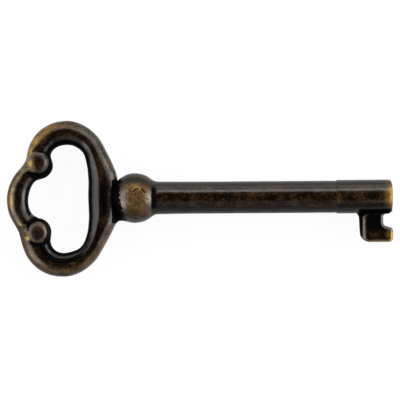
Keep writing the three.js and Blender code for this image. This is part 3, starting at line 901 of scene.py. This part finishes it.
# %% Draw the bit's outline
NOSE_X = bit_high.x
FOOT_Y = bit_low.y
HALF_THICK = bit_high.z
HEEL_X = NOSE_X - 6.4 * MM
NOTCH_X = NOSE_X - 1.95 * MM
ROOT_Y = -BARREL_RADIUS + 0.6 * MM
RIM = 0.72 * MM
BIT_CORNERS = [
    (HEEL_X - 1.3 * MM, ROOT_Y, 0),
    (HEEL_X - 0.3 * MM, -3.8 * MM, 1.5 * MM),
    (HEEL_X, FOOT_Y, 1.9 * MM),
    (NOSE_X, FOOT_Y - 0.02 * MM, 0.85 * MM),
    (NOSE_X, -6.25 * MM, 0.8 * MM),
    (NOTCH_X, -5.75 * MM, 0.95 * MM),
    (NOTCH_X, -3.4 * MM, 0.95 * MM),
    (NOSE_X, -2.95 * MM, 0),
    (NOSE_X - 0.6 * MM, ROOT_Y, 0),
]


def rounded_corners(corners, steps=8):
    """The outline through corners, each rounded to its own radius."""
    points = []
    for index, (x, y, radius) in enumerate(corners):
        corner = Vector((x, y))
        if not radius:
            points.append(corner)
            continue
        before = (Vector(corners[index - 1][:2]) - corner).normalized()
        after = (Vector(corners[(index + 1) % len(corners)][:2]) - corner).normalized()
        half_angle = before.angle(after) / 2
        reach = radius / math.tan(half_angle)
        centre = corner + (before + after).normalized() * radius / math.sin(half_angle)
        start, end = corner + before * reach - centre, corner + after * reach - centre
        turn = start.angle_signed(end)
        for step in range(steps + 1):
            points.append(centre + Matrix.Rotation(-turn * step / steps, 2) @ start)
    return points


bit_outline = rounded_corners(BIT_CORNERS)
print("the bit's outline has", len(bit_outline), "points")

# %% Extrude the bit and soften its rims
LONGEST_EDGE = 0.5 * MM
HEEL_THINNED = 0.3

bit_bm = bmesh.new()
plate = bit_bm.faces.new([bit_bm.verts.new((point.x, point.y, -HALF_THICK)) for point in bit_outline])
raised = bmesh.ops.extrude_face_region(bit_bm, geom=[plate])
top = [part for part in raised["geom"] if isinstance(part, bmesh.types.BMVert)]
bmesh.ops.translate(bit_bm, vec=(0, 0, 2 * HALF_THICK), verts=top)
bmesh.ops.recalc_face_normals(bit_bm, faces=bit_bm.faces)
rims = [edge for edge in bit_bm.edges if abs(edge.verts[0].co.z - edge.verts[1].co.z) < 0.001 * MM]
bmesh.ops.bevel(bit_bm, geom=rims, offset=RIM, segments=8, profile=0.5, affect="EDGES", material=-1)
bmesh.ops.triangulate(bit_bm, faces=[face for face in bit_bm.faces if len(face.verts) > 4])
for _ in range(3):
    long_edges = [edge for edge in bit_bm.edges if edge.calc_length() > LONGEST_EDGE]
    bmesh.ops.subdivide_edges(bit_bm, edges=long_edges, cuts=1)
    bmesh.ops.triangulate(bit_bm, faces=[face for face in bit_bm.faces if len(face.verts) > 3])


def is_folded(face):
    """True where a neighbour lies on the very same corners. Without both of them the surface is closed."""
    beside_it = [near for edge in face.edges for near in edge.link_faces if near != face]
    return any(set(near.verts) == set(face.verts) for near in beside_it)


folded = [face for face in bit_bm.faces if is_folded(face)]
bmesh.ops.delete(bit_bm, geom=folded, context="FACES")
open_edges = sum(not edge.is_manifold for edge in bit_bm.edges)
print("folded faces taken out:", len(folded), "open edges left:", open_edges)
for vert in bit_bm.verts:
    thinned = 1 - smoothstep(HEEL_X + 0.35 * MM, HEEL_X + 1.05 * MM, vert.co.x)
    vert.co.z *= 1 - HEEL_THINNED * thinned
roughened(bit_bm, 0.03 * MM, 1.5 * MM, 29)


# %% Store the bit's wear
def bit_wear(place, normal):
    edge = 1 - smoothstep(0.85, 0.985, abs(normal.z))
    foot = smoothstep(-7.6, -8.8, place.y)
    nose = smoothstep(NOTCH_X / MM - 0.1, NOSE_X / MM - 0.3, place.x) * smoothstep(-5.6, -7.4, place.y)
    notch_rim = smoothstep(NOTCH_X / MM - 0.9, NOTCH_X / MM - 0.4, place.x) * smoothstep(-6.6, -5.6, place.y)
    # A thin band along the heel is rubbed brighter as a painted highlight.
    heel_highlight = smoothstep(HEEL_X / MM + 0.3, HEEL_X / MM + 0.5, place.x)
    heel_highlight *= 1 - smoothstep(HEEL_X / MM + 0.9, HEEL_X / MM + 1.2, place.x)
    # The rims are rubbed, the notch's rim brighter, partly as a painted highlight.
    at_rims = max(0.6 * edge * foot, 0.35 * edge * notch_rim, 0.1 * edge)
    rub_and_highlight = max(at_rims, nose * (0.6 + 0.4 * edge), 0.3 * heel_highlight)
    # Painted shade: the flat top is blackened towards the root and where it meets the barrel, and the heel's
    # outer rim is black.
    root = smoothstep(-8.6, -6, place.y) * smoothstep(HEEL_X / MM + 0.9, HEEL_X / MM + 1.2, place.x)
    heel_shade = smoothstep(HEEL_X / MM + 0.5, HEEL_X / MM + 0.3, place.x) * smoothstep(-8.6, -7.6, place.y)
    grime_and_shade = max(0.7 * root * (1 - edge), 0.7 * smoothstep(-3.8, -3.3, place.y), heel_shade)
    return rub_and_highlight, grime_and_shade, 0.25, 0.4 + 0.6 * max(edge, heel_highlight)


bit = finished("bit_web", bit_bm, bit_wear, "bit", sharp=40)

# %% [markdown]
# ## Writing shaders as sums
#
# A material is a tree of nodes, and a tree is hard to read in code. Here a small class wraps a node's
# output, and Python's own `+`, `-`, `*` on it add the Math nodes.


# %% The class that wraps a socket
class Wire:
    def __init__(self, finish, socket):
        self.finish = finish
        self.socket = socket

    def math(self, operation, *others, clamp=False):
        values = dict(enumerate([self, *others]))
        settings = {"operation": operation, "use_clamp": clamp}
        return self.finish.node("ShaderNodeMath", settings, values)

    def __add__(self, other):
        return self.math("ADD", other)

    def __sub__(self, other):
        return self.math("SUBTRACT", other)

    def __rsub__(self, other):
        return self.finish.node("ShaderNodeMath", {"operation": "SUBTRACT"}, {0: other, 1: self})

    def __mul__(self, other):
        return self.math("MULTIPLY", other)

    __radd__ = __add__
    __rmul__ = __mul__

    def clamped(self):
        return self.math("ADD", 0, clamp=True)


class Finish:
    """A material that is being written."""

    def __init__(self, name, world=None):
        self.material = world or bpy.data.materials.new(name)
        self.material.use_nodes = True
        self.tree = self.material.node_tree
        self.tree.nodes.clear()

    def node(self, kind, settings=None, inputs=None, output=0):
        made = self.tree.nodes.new(kind)
        for key, value in (settings or {}).items():
            setattr(made, key, value)
        for key, value in (inputs or {}).items():
            if isinstance(value, Wire):
                self.tree.links.new(value.socket, made.inputs[key])
            else:
                made.inputs[key].default_value = value
        return Wire(self, made.outputs[output]) if made.outputs else None

    def noise(self, place, scale, detail=3, roughness=0.55):
        inputs = {"Vector": place, "Scale": scale, "Detail": detail, "Roughness": roughness}
        return self.node("ShaderNodeTexNoise", inputs=inputs)

    def step(self, value, low, high):
        """0 below low and 1 above high, with a smooth rise between."""
        settings = {"interpolation_type": "SMOOTHSTEP"}
        inputs = {"Value": value, "From Min": low, "From Max": high}
        return self.node("ShaderNodeMapRange", settings, inputs)

    def blend(self, share, a, b):
        """Colour a where share is 0 and colour b where it is 1."""
        return self.node("ShaderNodeMix", {"data_type": "RGBA"}, {0: share, 6: a, 7: b}, output=2)


# %% [markdown]
# ## Antique brass
#
# Three layers make the finish. Brass lies at the bottom. A thin brown patina covers it, with reddish
# specks where `rust` puts them. `rub_and_highlight` wears the patina away, and in a few places brightens it
# as a painted highlight; `gloss` says how much wax is left as a clear coat, and noise breaks up their
# edges, because wear is never even. A nearly black, dull cover lies on top where `grime_and_shade` puts it:
# real grime in the corners and painted shade where the key should look dark. It is a shader of its own,
# because black paint on the brass would keep the brass's shine.

# %% Write the brass finishes
PATINA_DARK = (0.0035, 0.0014, 0.0004)
PATINA_WARM = (0.036, 0.0175, 0.006)
SPECK = (0.036, 0.015, 0.004, 1)
RUST = (0.1, 0.035, 0.016, 1)
DEEP_BRASS = (0.036, 0.018, 0.0035, 1)
DULL_BRASS = (0.085, 0.045, 0.009, 1)
BRIGHT_BRASS = (0.32, 0.19, 0.038, 1)
GRIME_AND_SHADE_BLACK = (0.0003, 0.0003, 0.0005, 1)
# How many to a metre: clouds are 1.5 mm across, and flecks and grain 0.3 mm.
CLOUDS, FLECKS, GRAINS = 650, 3200, 3600


def brass_finish(name, tone, relief, roughness=0.2, metal=0.3, stretch=1):
    finish = Finish(name)
    own_place = finish.node("ShaderNodeTexCoord", output="Object")
    stretched = {0: own_place, 1: (stretch, 1, 1)}
    place = finish.node("ShaderNodeVectorMath", {"operation": "MULTIPLY"}, stretched)
    rub_and_highlight, grime_and_shade, rust, gloss = [
        finish.node("ShaderNodeAttribute", {"attribute_name": kind}, output=2) for kind in WEAR_KINDS
    ]
    cloud = finish.noise(place, CLOUDS, detail=4)
    grain = finish.noise(place, GRAINS, detail=3, roughness=0.6)
    fleck = finish.noise(place, FLECKS, detail=2)
    ragged = rub_and_highlight + (cloud - 0.5) * 0.5 + (grain - 0.5) * 0.6
    worn = finish.step(ragged, 0.08, 0.5)
    polished = finish.step(ragged, 0.5, 1)
    speck = finish.step(fleck + (cloud - 0.5) * 0.5 + (grain - 0.5) * 0.3, 0.52, 0.85) * rust
    rusty = finish.step(rust + (fleck - 0.5) * 1.6 + (cloud - 0.5), 0.55, 1.1)
    dark, warm = [(*(channel * tone for channel in color), 1) for color in (PATINA_DARK, PATINA_WARM)]
    patina = finish.blend(finish.step(cloud * 0.8 + grain * 0.9, 0.78, 1.05), dark, warm)
    patina = finish.blend(speck, patina, SPECK)
    brass = finish.blend(finish.step(grain + (cloud - 0.5), 0.3, 0.7), DEEP_BRASS, DULL_BRASS)
    brass = finish.blend(polished, brass, BRIGHT_BRASS)
    color = finish.blend(worn, patina, brass)
    color = finish.blend(rusty * 0.6, color, RUST)
    relief_height = grain + cloud * 0.8
    bump = finish.node(
        "ShaderNodeBump", inputs={"Strength": relief, "Distance": 0.06 * MM, "Height": relief_height}
    )
    surface = finish.node(
        "ShaderNodeBsdfPrincipled",
        inputs={
            "Base Color": color,
            "Metallic": polished * (1 - rusty * 0.5) * metal,
            "Roughness": roughness + 0.1 * (grain - 0.5) + 0.12 * worn,
            "Specular IOR Level": 0.15,
            "Specular Tint": (1, 0.93, 0.84, 1),
            "Coat Weight": gloss * (0.4 + cloud * 1.2) * (1 - polished * 0.5),
            "Coat Roughness": roughness,
            "Normal": bump,
        },
    )
    # The black, dull cover stands for real grime and for painted shade.
    black_grime_and_shade = finish.node(
        "ShaderNodeBsdfPrincipled",
        inputs={"Base Color": GRIME_AND_SHADE_BLACK, "Roughness": 0.5, "Specular IOR Level": 0.02},
    )
    grime_and_shade_cover = finish.step(grime_and_shade + (cloud - 0.5) * 0.35, 0.25, 0.8)
    shader = finish.node("ShaderNodeMixShader", inputs={0: grime_and_shade_cover, 1: surface, 2: black_grime_and_shade})
    finish.node("ShaderNodeOutputMaterial", inputs={"Surface": shader})
    return finish.material


aged_brass = brass_finish("aged_brass", tone=0.6, relief=0.6)
drawn_brass = brass_finish("drawn_brass", tone=0.75, roughness=0.17, stretch=0.7, relief=0.3)
rubbed_brass = brass_finish("rubbed_brass", tone=0.7, roughness=0.32, metal=0.1, relief=1)
for piece, material in [
    (shank, drawn_brass),
    (barrel, drawn_brass),
    (ball, rubbed_brass),
    (loop, aged_brass),
    (crest, aged_brass),
    (upper_bead, rubbed_brass),
    (lower_bead, rubbed_brass),
    (bit, aged_brass),
]:
    piece.data.materials.append(material)
print("finishes:", [material.name for material in (aged_brass, drawn_brass, rubbed_brass)])

# %% [markdown]
# ## Floor, background and lights
#
# The photograph has a pure white ground. The floor glows white to the camera and to reflections, mixed
# with a little real white so that it still takes the key's shadow. The studio is white near the floor and
# nearly dark above it. Seven softboxes stand round the key and none hangs over it, so the metal's crown
# reflects the dark, as in the photograph.

# %% Lay the floor
FLOOR_Z = cad_low.z
FLOOR_SIZE = 4
PAPER_WHITE = (0.96, 0.96, 0.96, 1)
PAPER_GLOW = 0.92

floor_bm = bmesh.new()
bmesh.ops.create_grid(floor_bm, x_segments=1, y_segments=1, size=FLOOR_SIZE / 2)
bmesh.ops.translate(floor_bm, vec=(0, 0, FLOOR_Z), verts=floor_bm.verts)
floor_mesh = bpy.data.meshes.new("floor")
floor_bm.to_mesh(floor_mesh)
floor_bm.free()
floor = bpy.data.objects.new("floor", floor_mesh)
bpy.context.scene.collection.objects.link(floor)

paper = Finish("white_paper")
seen, mirrored, through = [
    paper.node("ShaderNodeLightPath", output=kind)
    for kind in ("Is Camera Ray", "Is Glossy Ray", "Is Transmission Ray")
]
matt = paper.node("ShaderNodeBsdfDiffuse", inputs={"Color": PAPER_WHITE})
glow = paper.node("ShaderNodeEmission", inputs={"Color": (1, 1, 1, 1), "Strength": 1})
share = (seen + mirrored + through).clamped() * PAPER_GLOW
surface = paper.node("ShaderNodeMixShader", inputs={0: share, 1: matt, 2: glow})
paper.node("ShaderNodeOutputMaterial", inputs={"Surface": surface})
floor_mesh.materials.append(paper.material)
print("floor at", round(FLOOR_Z / MM, 2), "mm")

# %% Light the studio
STUDIO_DARK = 0.03
LAMP_DISTANCE = 0.7

world = bpy.data.worlds.new("studio")
bpy.context.scene.world = world
sky = Finish("studio", world)
way = sky.node("ShaderNodeTexCoord", output="Generated")
height = sky.node("ShaderNodeSeparateXYZ", inputs={0: way}, output="Z")
low_down = 1 - sky.step(height, 0.08, 0.2)
brightness = low_down * (1 - STUDIO_DARK) + STUDIO_DARK
backdrop = sky.node("ShaderNodeBackground", inputs={"Color": (1, 1, 1, 1), "Strength": brightness})
sky.node("ShaderNodeOutputWorld", inputs={"Surface": backdrop})


def softbox(name, side, low, high, width, radiance):
    """A lamp that faces the key from one side, between two angles off straight up."""
    middle, opening = math.radians(low + high) / 2, math.radians(high - low)
    lamp = bpy.data.lights.new(name, "AREA")
    lamp.shape = "RECTANGLE"
    lamp.size, lamp.size_y = width, 2 * LAMP_DISTANCE * math.tan(opening / 2)
    lamp.energy = radiance * 4 * lamp.size * lamp.size_y
    box = bpy.data.objects.new(name, lamp)
    bpy.context.scene.collection.objects.link(box)
    turn = math.radians(side)
    away = Vector((math.sin(turn) * math.sin(middle), math.cos(turn) * math.sin(middle), math.cos(middle)))
    box.location = away * LAMP_DISTANCE
    box.rotation_euler = away.to_track_quat("Z", "Y").to_euler()
    box.visible_camera = False
    print(name, round(lamp.energy, 2), "W")


softbox("back_softbox", side=0, low=40, high=57, width=2.2, radiance=3.4)
softbox("low_back_softbox", side=0, low=57, high=88, width=1.8, radiance=1.2)
softbox("back_right_softbox", side=48, low=29, high=44, width=0.45, radiance=2.2)
softbox("left_softbox", side=-100, low=39, high=85, width=0.9, radiance=2.3)
softbox("right_softbox", side=87, low=47, high=82, width=0.5, radiance=4.1)
softbox("front_right_softbox", side=128, low=38, high=80, width=0.5, radiance=1.1)
softbox("front_softbox", side=180, low=26, high=88, width=1.6, radiance=0.3)
bpy.context.scene.view_settings.view_transform = "Standard"
